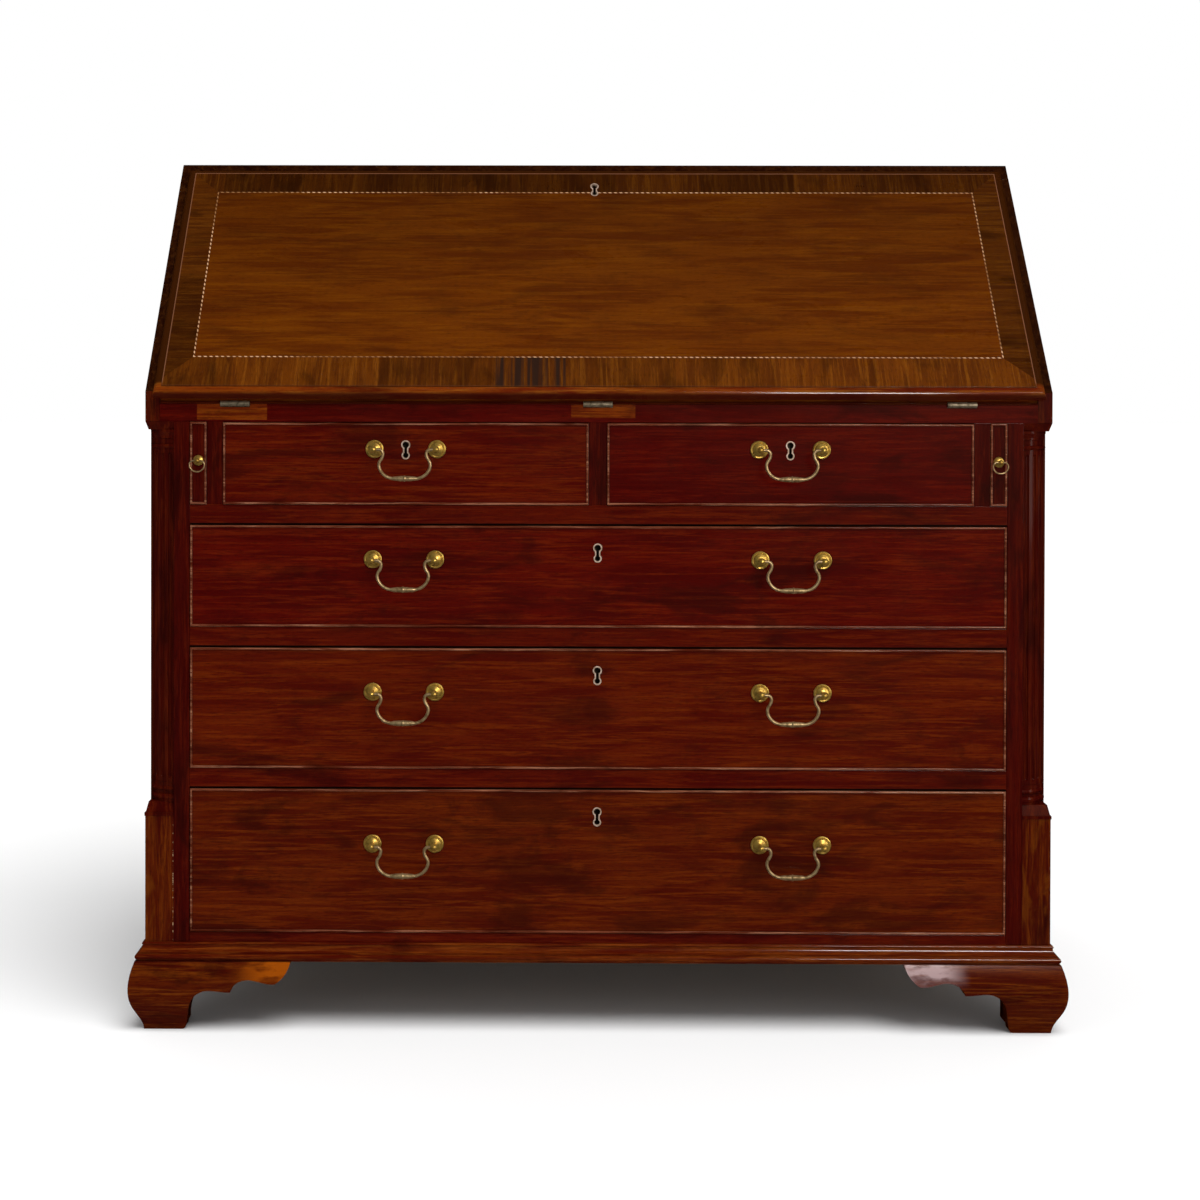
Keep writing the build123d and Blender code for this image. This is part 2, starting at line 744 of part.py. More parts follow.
for name, (row, x0, x1, handles, lock_x) in drawers.items():
    low, high = row_heights[row]
    handle_height = handle_heights[row]
    keyhole_height = high - keyhole_below_top
    lock_foot = keyhole_height - 15
    post_places = [x + side for x in handles.values() for side in (-post_spacing / 2, post_spacing / 2)]
    face_plane = Plane(origin=(lock_x, front, keyhole_height), x_dir=(1, 0, 0), z_dir=(0, -1, 0))

    with BuildPart() as drawer_front:
        rebated_front(x0, x1, low, high, front_thick)
        board(
            lock_x - lock_half,
            lock_x + lock_half,
            front + drawer_lock_front,
            front + front_thick,
            lock_foot,
            high,
            mode=Mode.SUBTRACT,
        )
        extrude(keyhole(face_plane.offset(-drawer_lock_front)), amount=drawer_lock_front, mode=Mode.SUBTRACT)
        for x in post_places:
            with Locations((x, front + front_thick / 2, handle_height)):
                Cylinder(shank_radius + 0.05, 2 * front_thick, rotation=(90, 0, 0), mode=Mode.SUBTRACT)
        add(cockbead_frame(x0, x1, low, high))
    save(drawer_front.part, f"drawer_{name}_front")

    with BuildPart() as drawer_box:
        behind = front + front_thick + glue_line
        inner_x0, inner_x1 = x0 + 0.8 + drawer_side, x1 - 0.8 - drawer_side
        board(x0 + 0.8, inner_x0, behind, drawer_back, low, high - 4)
        board(inner_x1, x1 - 0.8, behind, drawer_back, low, high - 4)
        board(
            inner_x0 + glue_line,
            inner_x1 - glue_line,
            behind,
            drawer_back,
            low + drawer_bottom_low,
            low + drawer_bottom_high,
        )
        board(
            inner_x0 + glue_line,
            inner_x1 - glue_line,
            drawer_back - drawer_side,
            drawer_back,
            low + drawer_bottom_high + glue_line,
            high - 10,
        )
    save(drawer_box.part, f"drawer_{name}_box")

    with BuildPart() as fittings:
        for x in post_places:
            add(post(x, handle_height, rosette_profile, post_reach, 4.3, bail_radius + 0.07))
            with Locations((x, front + front_thick + 1.55, handle_height)):
                Cylinder(5, 3, rotation=(90, 0, 0))
        board(
            lock_x - lock_half + glue_line,
            lock_x + lock_half - glue_line,
            front + drawer_lock_front + glue_line,
            front + front_thick,
            lock_foot + glue_line,
            high,
        )
        board(
            lock_x - drawer_bolt_half - 0.3,
            lock_x + drawer_bolt_half + 0.3,
            front + drawer_bolt_back - 0.3,
            front + drawer_bolt_back + drawer_bolt_thick + 0.3,
            high - 24,
            high + 1,
            mode=Mode.SUBTRACT,
        )
        extrude(keyhole(face_plane.offset(-thread_in)), amount=thread_in + thread_out)
        thread_hole = keyhole(face_plane.offset(-thread_in), thread_wall)
        extrude(thread_hole, amount=thread_in + thread_out, mode=Mode.SUBTRACT)
    save(fittings.part, f"drawer_{name}_fittings")

    with BuildPart() as lock_bolt:
        board(
            lock_x - drawer_bolt_half,
            lock_x + drawer_bolt_half,
            front + drawer_bolt_back,
            front + drawer_bolt_back + drawer_bolt_thick,
            high - 22,
            high - 0.6,
        )
    save(lock_bolt.part, f"drawer_{name}_bolt")

    for handle, x in handles.items():
        bail(x, handle_height, f"drawer_{name}_{handle}")

# ---------------------------------------------------------------- the fitted interior

gallery_front = front + 262
gallery_back = back - back_thick - 0.5
gallery_half = side_inner - 0.5
gallery_wall = 7
cupboard_half = 64
cupboard_side = 6
gallery_floor = writing_height + glue_line
gallery_ceiling = top_underside - glue_line
drawer_tier = 850
shelf_thick = 6
valance_low = 1030
valance_thick = 5
hole_count = 4
hole_divider = 5

bay_inner = cupboard_half + cupboard_side
bay_outer = gallery_half - gallery_wall
hole_width = (bay_outer - bay_inner - (hole_count - 1) * hole_divider) / hole_count
drawer_width = (bay_outer - bay_inner - shelf_thick) / 2
shelf_top = drawer_tier + shelf_thick
ceiling_low = gallery_ceiling - gallery_wall
door_top = 922


def valance(x0, x1):
    """The shaped rail over a pigeonhole: a double scoop that meets in a drop."""
    width = x1 - x0
    centre = (x0 + x1) / 2
    with BuildPart() as rail:
        board(
            x0 + glue_line,
            x1 - glue_line,
            gallery_front + 3,
            gallery_front + 3 + valance_thick,
            valance_low,
            ceiling_low - glue_line,
        )
        for scoop_x in (centre - width / 4, centre + width / 4):
            with Locations((scoop_x, gallery_front + 5, valance_low - width / 16)):
                Cylinder(width / 4.3, 2 * valance_thick + 4, rotation=(90, 0, 0), mode=Mode.SUBTRACT)
    return rail.part


with BuildPart() as pigeonholes:
    board(-gallery_half, gallery_half, gallery_front, gallery_back, ceiling_low, gallery_ceiling)
    valances = [valance(-cupboard_half, cupboard_half)]
    for sign in hands.values():
        board(
            sign * bay_outer,
            sign * gallery_half,
            gallery_front,
            gallery_back,
            gallery_floor,
            ceiling_low - glue_line,
        )
        board(
            sign * cupboard_half,
            sign * bay_inner,
            gallery_front,
            gallery_back,
            gallery_floor,
            ceiling_low - glue_line,
        )
        board(
            sign * (bay_inner + glue_line),
            sign * (bay_outer - glue_line),
            gallery_front,
            gallery_back,
            drawer_tier,
            shelf_top,
        )
        middle = bay_inner + drawer_width
        board(
            sign * middle,
            sign * (middle + shelf_thick),
            gallery_front,
            gallery_back,
            gallery_floor,
            drawer_tier - glue_line,
        )
        for hole in range(hole_count):
            hole_inner = bay_inner + hole * (hole_width + hole_divider)
            ends = sorted((sign * hole_inner, sign * (hole_inner + hole_width)))
            valances.append(valance(*ends))
            if hole:
                board(
                    sign * (hole_inner - hole_divider),
                    sign * hole_inner,
                    gallery_front + 2,
                    gallery_back,
                    shelf_top + glue_line,
                    ceiling_low - glue_line,
                )
    board(
        -cupboard_half + glue_line,
        cupboard_half - glue_line,
        gallery_front,
        gallery_back,
        door_top + 2,
        door_top + 2 + shelf_thick,
    )
    for rail in valances:
        add(rail)
save(pigeonholes.part, "pigeonholes")


def knob(x, y, z, reach, radius):
    """A small turned knob standing out of a front, seen along -Y."""
    plane = Plane(origin=(x, y, z), x_dir=(1, 0, 0), z_dir=(0, 0, -1))
    profile = [(radius * 0.8, 0.05), (radius * 0.75, 1.2), (radius * 0.4, 2), (radius * 0.35, reach * 0.5)]
    profile += [(radius * 0.9, reach * 0.62), (radius, reach * 0.78), (radius * 0.8, reach * 0.93)]
    profile += [(radius * 0.3, reach)]
    with BuildPart() as turning:
        revolve(turned(plane, profile), axis=Axis((x, y, z), (0, -1, 0)))
    return turning.part


# Cupboard door: a frame with a sunk panel, a knob, and two small hinges on its left edge
door_half = 63.3
door_foot = writing_height + 6
door_thick = 10
door_frame = 20
door_pivot_x = -cupboard_half - 0.2
door_pivot_y = gallery_front - 1.9
with BuildPart() as cupboard_door:
    board(-door_half, door_half, gallery_front, gallery_front + door_thick, door_foot, door_top)
    inner = door_half - door_frame
    board(
        -inner,
        inner,
        gallery_front,
        gallery_front + 3,
        door_foot + door_frame,
        door_top - door_frame,
        mode=Mode.SUBTRACT,
    )
    add(knob(door_half - door_frame / 2, gallery_front, 862, 12, 5))
    for height in (door_foot + 22, door_top - 22):
        board(
            door_pivot_x + 1,
            door_pivot_x + 10,
            gallery_front - 0.85,
            gallery_front - 0.05,
            height - 9,
            height + 9,
        )
        with Locations((door_pivot_x, door_pivot_y, height)):
            Cylinder(1.7, 18)
save(cupboard_door.part, "cupboard_door")

small_low = writing_height + 0.5
small_high = drawer_tier - 1
small_back = gallery_back - 20
small_front = 9
small_side = 6
for hand, sign in hands.items():
    for place, start in (("inner", bay_inner), ("outer", bay_inner + drawer_width + shelf_thick)):
        x0, x1 = sorted((sign * (start + 0.6), sign * (start + drawer_width - 0.6)))
        with BuildPart() as small_drawer:
            board(x0, x1, gallery_front, gallery_front + small_front, small_low, small_high)
            behind = gallery_front + small_front + glue_line
            for side_x in (x0 + 0.4, x1 - 0.4 - small_side):
                board(side_x, side_x + small_side, behind, small_back, small_low, small_high - 3)
            inner_x0, inner_x1 = x0 + 0.5 + small_side, x1 - 0.5 - small_side
            board(inner_x0, inner_x1, behind, small_back, small_low + 3, small_low + 8)
            board(
                inner_x0,
                inner_x1,
                small_back - small_side,
                small_back,
                small_low + 8 + glue_line,
                small_high - 6,
            )
            add(knob((x0 + x1) / 2, gallery_front, (small_low + small_high) / 2, 13, 6))
        save(small_drawer.part, f"small_drawer_{hand}_{place}")
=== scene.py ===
import bpy
import bmesh
from math import cos, pi, radians, sin
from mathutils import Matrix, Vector


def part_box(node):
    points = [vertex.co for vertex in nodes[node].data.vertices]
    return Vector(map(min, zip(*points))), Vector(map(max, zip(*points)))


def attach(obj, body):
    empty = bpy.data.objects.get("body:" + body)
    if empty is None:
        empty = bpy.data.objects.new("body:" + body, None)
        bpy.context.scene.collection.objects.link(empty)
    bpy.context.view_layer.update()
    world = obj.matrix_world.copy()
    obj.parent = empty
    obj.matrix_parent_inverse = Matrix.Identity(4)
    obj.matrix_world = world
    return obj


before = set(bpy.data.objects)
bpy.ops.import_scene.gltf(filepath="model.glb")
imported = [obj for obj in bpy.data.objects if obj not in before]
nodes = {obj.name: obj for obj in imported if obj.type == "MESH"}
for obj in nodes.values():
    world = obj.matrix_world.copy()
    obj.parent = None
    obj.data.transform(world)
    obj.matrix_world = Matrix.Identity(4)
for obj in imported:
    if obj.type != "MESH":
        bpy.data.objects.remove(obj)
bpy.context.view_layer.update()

# The room: the desk stands on a plain white studio floor that runs out of sight, under one broad
# soft light from above and in front. Two soft boxes only draw the gleams on polish and brass.
view = bpy.data.cameras.new("studio_camera")
view.lens = 59.9
view.sensor_width = 36
view.shift_x = 0.0595
view.shift_y = -0.1624
stand = bpy.data.objects.new("studio_camera", view)
stand.location = (-0.0625, -2.729, 0.796)
stand.rotation_euler = (radians(90 - 0.533), radians(-0.119), radians(0.538))
bpy.context.scene.collection.objects.link(stand)
bpy.context.scene.camera = stand
bpy.context.scene.view_settings.view_transform = "Standard"

backdrop_glow = 1.0
room_glow = 0.46
room = bpy.data.worlds.new("studio")
bpy.context.scene.world = room
room.use_nodes = True
air = room.node_tree
air.nodes.clear()
ray = air.nodes.new("ShaderNodeLightPath")
seen = air.nodes.new("ShaderNodeMix")
seen.inputs["A"].default_value = room_glow
seen.inputs["B"].default_value = backdrop_glow
air.links.new(ray.outputs["Is Camera Ray"], seen.inputs["Factor"])
glow = air.nodes.new("ShaderNodeBackground")
glow.inputs["Color"].default_value = (1, 1, 1, 1)
air.links.new(seen.outputs["Result"], glow.inputs["Strength"])
room.cycles_visibility.glossy = False
sky = air.nodes.new("ShaderNodeOutputWorld")
air.links.new(glow.outputs["Background"], sky.inputs["Surface"])


def lamp(name, kind, place, aim, energy, width=0.0, height=0.0, colour=(1, 1, 1)):
    """A light at a place, turned to face a point; a soft box has a width and a height."""
    data = bpy.data.lights.new(name, kind)
    data.energy = energy
    data.color = colour
    if kind == "AREA":
        data.shape = "RECTANGLE"
        data.size = width
        data.size_y = height
    light = bpy.data.objects.new(name, data)
    light.location = place
    light.rotation_euler = (Vector(aim) - Vector(place)).to_track_quat("-Z", "Y").to_euler()
    bpy.context.scene.collection.objects.link(light)
    return light


broad = lamp("broad_light", "SUN", (0.7, -1.3, 3.1), (0, 0, 0), 2.6)
broad.data.angle = radians(44)
broad.visible_glossy = False
for name, place, aim, energy, width, height in (
    ("soft_box_right", (1.0, -2.9, 1.5), (0.2, -0.2, 0.6), 34, 0.7, 0.4),
    ("soft_box_end", (2.4, -1.7, 1.2), (0.5, -0.25, 0.5), 12, 0.4, 1.6),
):
    lamp(name, "AREA", place, aim, energy, width, height, (1, 0.94, 0.9)).visible_diffuse = False

floor_reach = 40
corners = [(-floor_reach, -floor_reach, 0), (floor_reach, -floor_reach, 0)]
corners += [(floor_reach, floor_reach, 0), (-floor_reach, floor_reach, 0)]
floor_mesh = bpy.data.meshes.new("studio_floor")
floor_mesh.from_pydata(corners, [], [(0, 1, 2, 3)])
floor = bpy.data.objects.new("studio_floor", floor_mesh)
bpy.context.scene.collection.objects.link(floor)
floor.visible_glossy = False
paper = bpy.data.materials.new("studio_paper")
paper.use_nodes = True
sheet = paper.node_tree.nodes["Principled BSDF"]
sheet.inputs["Base Color"].default_value = (0.93, 0.93, 0.93, 1)
sheet.inputs["Roughness"].default_value = 0.9
sheet.inputs["Specular IOR Level"].default_value = 0
floor_mesh.materials.append(paper)

# The case: sides, rails, uprights and the two long boards, all mahogany with the grain running the
# length of each. They are stained deep red and French polished; the polish has darkened unevenly.
front = -0.26735
writing_height = 0.774
slope = radians(50)


class Recipe:
    """A finish being mixed: a material's node tree, with short calls for the nodes it needs."""

    def __init__(self, name):
        self.material = bpy.data.materials.new(name)
        self.material.use_nodes = True
        self.tree = self.material.node_tree
        self.shader = self.tree.nodes["Principled BSDF"]
        self.place = self.tree.nodes.new("ShaderNodeTexCoord").outputs["Object"]

    def put(self, socket, value):
        if isinstance(value, bpy.types.NodeSocket):
            self.tree.links.new(value, socket)
        else:
            socket.default_value = value

    def set(self, **values):
        for name, value in values.items():
            self.put(self.shader.inputs[name.replace("_", " ")], value)

    def math(self, operation, a, b=0.0, c=0.0):
        made = self.tree.nodes.new("ShaderNodeMath")
        made.operation = operation
        for socket, value in zip(made.inputs, (a, b, c)):
            self.put(socket, value)
        return made.outputs[0]

    def along(self, direction, start=(0, 0, 0)):
        """Distance along a direction from a starting point."""
        shifted = self.tree.nodes.new("ShaderNodeVectorMath")
        shifted.operation = "SUBTRACT"
        self.put(shifted.inputs[0], self.place)
        self.put(shifted.inputs[1], start)
        dot = self.tree.nodes.new("ShaderNodeVectorMath")
        dot.operation = "DOT_PRODUCT"
        self.put(dot.inputs[0], shifted.outputs["Vector"])
        self.put(dot.inputs[1], direction)
        return dot.outputs["Value"]

    def point(self, x, y, z):
        made = self.tree.nodes.new("ShaderNodeCombineXYZ")
        for socket, value in zip(made.inputs, (x, y, z)):
            self.put(socket, value)
        return made.outputs["Vector"]

    def stretched(self, scale, place=None, shift=(0, 0, 0)):
        made = self.tree.nodes.new("ShaderNodeMapping")
        self.put(made.inputs["Vector"], place or self.place)
        self.put(made.inputs["Location"], shift)
        self.put(made.inputs["Scale"], scale)
        return made.outputs["Vector"]

    def noise(self, place, scale=1.0, detail=4.0, roughness=0.55, distortion=0.0):
        made = self.tree.nodes.new("ShaderNodeTexNoise")
        self.put(made.inputs["Vector"], place)
        for name, value in (("Scale", scale), ("Detail", detail), ("Roughness", roughness)):
            self.put(made.inputs[name], value)
        self.put(made.inputs["Distortion"], distortion)
        return made.outputs["Fac"]

    def between(self, value, low, high, out_low=0.0, out_high=1.0):
        """The value eased from one pair of numbers to another."""
        made = self.tree.nodes.new("ShaderNodeMapRange")
        made.interpolation_type = "SMOOTHSTEP"
        for socket, number in zip(made.inputs, (value, low, high, out_low, out_high)):
            self.put(socket, number)
        return made.outputs["Result"]

    def inside(self, value, low, high, edge=0.0004):
        """One inside a span and nothing outside it."""
        rising = self.between(value, low - edge, low + edge)
        return self.math("MULTIPLY", rising, self.between(value, high - edge, high + edge, 1, 0))

    def both(self, a, b):
        return self.math("MULTIPLY", a, b)

    def blend(self, amount, first, second, mode="MIX"):
        made = self.tree.nodes.new("ShaderNodeMix")
        made.data_type = "RGBA"
        made.blend_type = mode
        self.put(made.inputs["Factor"], amount)
        # a mix node has an A and a B for each kind of value; the last pair takes colours
        sockets = [s for s in made.inputs if s.type == "RGBA"]
        for socket, colour in zip(sockets, (first, second)):
            self.put(socket, (*colour, 1) if isinstance(colour, tuple) else colour)
        return [s for s in made.outputs if s.type == "RGBA"][0]

    def bump(self, height, strength, distance):
        made = self.tree.nodes.new("ShaderNodeBump")
        self.put(made.inputs["Height"], height)
        made.inputs["Strength"].default_value = strength
        made.inputs["Distance"].default_value = distance
        self.put(self.shader.inputs["Normal"], made.outputs["Normal"])


def figured(mix, place, run, deep, warm, light, shift=(0, 0, 0), streak=0.7, cloud=0.55):
    """The colour of one board, and its fine grain and clouds, for grain that runs along an axis."""

    def scaled(along, across):
        return mix.stretched(tuple(along if axis == run else across for axis in "xyz"), place, shift)

    figure = mix.noise(scaled(4.5, 34), 1, 5, 0.6, 1.4)
    bands = mix.noise(scaled(8, 190), 1, 5, 0.7, 0.9)
    streaks = mix.noise(scaled(20, 520), 1, 4, 0.65, 0.5)
    pores = mix.noise(scaled(120, 1700), 1, 2, 0.5)
    clouds = mix.noise(scaled(9, 24), 1, 5, 0.62, 0.6)
    dark = tuple(channel * 0.35 for channel in deep)
    colour = mix.blend(mix.between(figure, 0.4, 0.6), deep, warm)
    colour = mix.blend(mix.between(bands, 0.46, 0.64, 0, streak), colour, light)
    colour = mix.blend(mix.between(streaks, 0.5, 0.64, 0, streak), colour, deep)
    colour = mix.blend(mix.between(pores, 0.52, 0.7, 0, 0.5), colour, dark)
    colour = mix.blend(mix.between(clouds, 0.5, 0.68, 0, cloud), colour, dark)
    return colour, mix.math("ADD", streaks, pores), clouds


def polish(mix, colour, grain, clouds, gloss=0.3, coat=0.4):
    """Shellac over open pores: an uneven gloss, with the grain just felt through it."""
    mix.set(Base_Color=colour, Roughness=mix.between(clouds, 0.3, 0.7, gloss, gloss + 0.14))
    mix.set(Specular_IOR_Level=0.05, Specular_Tint=(1, 0.6, 0.42, 1))
    mix.set(Coat_Weight=coat, Coat_Roughness=0.1)
    mix.bump(grain, 0.1, 0.0003)


def mahogany(name, run, deep, warm, light, gloss=0.3, coat=0.4, **options):
    mix = Recipe(name)
    polish(mix, *figured(mix, mix.place, run, deep, warm, light, **options), gloss, coat)
    return mix.material


def dress(name, material, *others):
    """Gives a node its material, and others to the faces that each one's test picks out."""
    mesh = nodes[name].data
    mesh.materials.clear()
    mesh.materials.append(material)
    for other, _ in others:
        mesh.materials.append(other)
    for face in mesh.polygons:
        corners = [mesh.vertices[i].co for i in face.vertices]
        face.material_index = 0
        for slot, (_, picks) in enumerate(others):
            if picks(face, corners):
                face.material_index = slot + 1


def soften(name, width=0.0005):
    """Arrises rubbed round by two centuries of dusting."""
    board = nodes[name]
    weld = board.modifiers.new("closed", "WELD")
    weld.merge_threshold = 0.00001
    worn = board.modifiers.new("worn_arris", "BEVEL")
    worn.width = width
    worn.segments = 2
    worn.limit_method = "ANGLE"
    worn.angle_limit = radians(40)
    worn.harden_normals = True


red_deep = (0.05, 0.0026, 0.0004)
red_warm = (0.072, 0.0072, 0.0005)
red_light = (0.11, 0.018, 0.0008)
stile_deep = (0.034, 0.0005, 0.0003)
stile_warm = (0.05, 0.0013, 0.0003)
stile_light = (0.08, 0.005, 0.0004)

side_wood = mahogany("side_mahogany", "z", red_deep, red_warm, red_light)
edge_tones = (stile_deep, (0.07, 0.005, 0.0004), (0.11, 0.015, 0.0008))
edge_wood = mahogany("side_edge_mahogany", "z", *edge_tones)
upright_wood = mahogany("upright_mahogany", "z", stile_deep, stile_warm, stile_light)
top_wood = mahogany("top_mahogany", "x", red_deep, red_warm, red_light, gloss=0.55, coat=0)
rebate_tones = ((0.012, 0.002, 0.0004), (0.024, 0.005, 0.0006), (0.05, 0.014, 0.002))
rebate_wood = mahogany("sloping_edge_mahogany", "y", *rebate_tones)

# the rails have a dark line of painted shadow along the edge over each long drawer, where the gap
# above the drawer lies in shade
long_drawer_tops = (0.2992, 0.4738, 0.6252)
painted_gap_shadow = (0.004, 0.0008, 0.0004)
mix = Recipe("rail_mahogany")
colour, grain, clouds = figured(
    mix, mix.place, "x", (0.052, 0.001, 0.0003), (0.075, 0.0034, 0.0003), (0.12, 0.011, 0.0005)
)
upward = mix.along((0, 0, 1))
for edge in long_drawer_tops:
    # painted shadow: a dark line just above each long drawer's top edge
    gap_shadow_line = mix.inside(upward, edge - 0.001, edge + 0.0016, 0.0005)
    colour = mix.blend(gap_shadow_line, colour, painted_gap_shadow)
polish(mix, colour, grain, clouds)
rail_wood = mix.material

# the writing board's front edge is the top rail: stained red like the others, and patched with two
# lighter pieces where the hinges were made good; each patch runs between two ends, down to a bottom
patches = ((-0.495, -0.4085, 0.7545), (-0.033, 0.046, 0.7575))
above_board = 0.79
mix = Recipe("writing_board_mahogany")
colour, grain, clouds = figured(
    mix, mix.place, "x", (0.05, 0.005, 0.0006), (0.08, 0.013, 0.001), (0.13, 0.032, 0.002)
)
across = mix.along((1, 0, 0))
rail_tones = ((0.052, 0.0004, 0.0003), (0.07, 0.0009, 0.0003), (0.105, 0.004, 0.0004))
rail_edge, _, _ = figured(mix, mix.place, "x", *rail_tones, shift=(1, 4, 0))
patch_tones = ((0.085, 0.006, 0.0004), (0.15, 0.019, 0.0006), (0.27, 0.06, 0.002))
patch, _, _ = figured(mix, mix.place, "x", *patch_tones, shift=(3, 1, 2), cloud=0.7)
on_edge = mix.between(mix.along((0, 1, 0)), front + 0.001, front + 0.002, 1, 0)
colour = mix.blend(on_edge, colour, rail_edge)
for low, high, bottom in patches:
    raised = mix.inside(mix.along((0, 0, 1)), bottom, above_board)
    let_in = mix.both(mix.both(mix.inside(across, low, high), raised), on_edge)
    colour = mix.blend(let_in, colour, patch)
polish(mix, colour, grain, clouds)
writing_wood = mix.material


def sawn_front(face, corners):
    """The upright front edge of a side, level with the drawers."""
    return all(corner.y < front + 0.0004 for corner in corners)


def sloping(face, corners):
    """The edges that the fall closes against."""
    return abs(face.normal.y + sin(slope)) < 0.02


for name in ("side_left", "side_right"):
    dress(name, side_wood, (edge_wood, sawn_front), (rebate_wood, sloping))
dress("uprights", upright_wood)
dress("top_board", top_wood, (rebate_wood, sloping))
dress("writing_board", writing_wood)
dress("drawer_rails", rail_wood)
for name in ("side_left", "side_right", "uprights", "top_board", "drawer_rails"):
    soften(name)

# Quarter columns: fluted shafts with turned base and capital, standing on plinth blocks faced with
# curl veneer. Dust and old polish have collected in the flutes and between the rings.
column_tones = ((0.034, 0.0008, 0.0003), (0.05, 0.0022, 0.0003), (0.085, 0.009, 0.0008))
column_wood = mahogany("column_mahogany", "z", *column_tones, coat=0.1)
plinth_top = 0.2642
joint_left, joint_right = -0.5252, -0.524
plinth_tones = ((0.048, 0.0022, 0.0003), (0.078, 0.0085, 0.0004), (0.14, 0.026, 0.0008))
mix = Recipe("plinth_curl_veneer")
colour, grain, clouds = figured(mix, mix.place, "z", *plinth_tones, cloud=0.7)
curl = mix.noise(mix.stretched((26, 26, 9)), 1, 3, 0.6, 2.2)
colour = mix.blend(mix.between(curl, 0.5, 0.68, 0, 0.6), colour, (0.12, 0.026, 0.001))
worn_joint = mix.both(
    mix.inside(mix.along((1, 0, 0)), joint_left, joint_right, 0.0002),
    mix.between(mix.noise(mix.stretched((10, 10, 330)), 1, 2), 0.52, 0.62, 0, 0.7),
)
colour = mix.blend(worn_joint, colour, (0.4, 0.24, 0.13))
polish(mix, colour, grain, clouds)
plinth_wood = mix.material


def on_plinth(face, corners):
    """The veneered block and its cap, under the turned base."""
    return all(corner.z < plinth_top for corner in corners)


for name in ("column_left", "column_right"):
    dress(name, column_wood, (plinth_wood, on_plinth))

# Base moulding: three lengths run from the solid, mitred at the front corners and glued round the
# foot of the case, lighter than the case where it has been knocked and repolished.
moulding_tones = ((0.058, 0.0032, 0.0004), (0.1, 0.0145, 0.0008), (0.18, 0.038, 0.003))
moulding_wood = mahogany("moulding_mahogany", "x", *moulding_tones, coat=0.7)
return_wood = mahogany("moulding_return", "y", *moulding_tones)
side_reach = 0.53


def faces_aside(face, corners):
    """The lengths that run back along the sides of the case, with their grain running back too."""
    turned = abs(face.normal.x) > abs(face.normal.y)
    return turned and min(abs(corner.x) for corner in corners) > side_reach


dress("base_moulding", moulding_wood, (return_wood, faces_aside))

# Bracket feet: ogee brackets sawn from thick mahogany, mitred and glued over blocks in the corners.
# A painted warm highlight lies at the tip of the left one, and a painted grey sheen along the top of
# the right one.
foot_tones = ((0.048, 0.0024, 0.0004), (0.08, 0.009, 0.0005), (0.155, 0.032, 0.0015))
painted_warm_highlight = (0.3, 0.062, 0.0012)
painted_grey_sheen = (0.46, 0.33, 0.33)
mix = Recipe("foot_mahogany")
colour, grain, clouds = figured(mix, mix.place, "x", *foot_tones, cloud=0.7)
across = mix.along((1, 0, 0))
upward = mix.along((0, 0, 1))
patchy = mix.between(mix.noise(mix.stretched((40, 40, 90)), 1, 3), 0.35, 0.6, 0.25, 1)
patchy = mix.both(patchy, mix.between(mix.along((0, 1, 0)), front + 0.004, front + 0.01, 1, 0))
# painted highlight: a warm amber patch at the tip of the left bracket, standing for light caught there
left_highlight_spot = mix.both(mix.between(across, -0.46, -0.4), mix.between(upward, 0.045, 0.07))
left_highlight_limit = mix.between(across, -0.34, -0.3, 0.9, 0)
colour = mix.blend(mix.both(mix.both(left_highlight_spot, patchy), left_highlight_limit), colour, painted_warm_highlight)
# painted sheen: a pale grey patch along the top of the right bracket, standing for a reflection
right_sheen_spot = mix.both(mix.inside(across, 0.345, 0.44, 0.02), mix.between(upward, 0.056, 0.074))
colour = mix.blend(mix.both(mix.both(right_sheen_spot, patchy), 0.8), colour, painted_grey_sheen)
polish(mix, colour, grain, clouds, coat=0.6)
foot_wood = mix.material
side_foot = mahogany("side_foot_mahogany", "y", *foot_tones)
for name in ("feet_front", "feet_rear"):
    dress(name, foot_wood, (side_foot, faces_aside))

# The back, bottom and dustboards: oak and pine left unpolished, grey-brown with age and dust. The
# back is five boards butted together, and nailed into the rebates of the sides with forged nails.
back = 0.29165
back_joints = (0.315, 0.545, 0.774, 0.925)
nail_columns = (0.529, 0.18)
nail_off_joint = 0.018
mix = Recipe("back_oak")
back_tones = ((0.11, 0.062, 0.028), (0.17, 0.1, 0.047), (0.25, 0.16, 0.085))
colour, grain, clouds = figured(mix, mix.place, "x", *back_tones)
for joint in back_joints:
    gap = mix.inside(mix.along((0, 0, 1)), joint - 0.0012, joint + 0.0008, 0.0006)
    colour = mix.blend(gap, colour, (0.012, 0.008, 0.005))
mix.set(Base_Color=colour, Roughness=mix.between(clouds, 0.3, 0.7, 0.62, 0.85), Specular_IOR_Level=0.2)
mix.bump(grain, 0.35, 0.0008)
back_oak = mix.material
for name in ("back_boards", "dustboards", "bottom_board"):
    dress(name, back_oak)


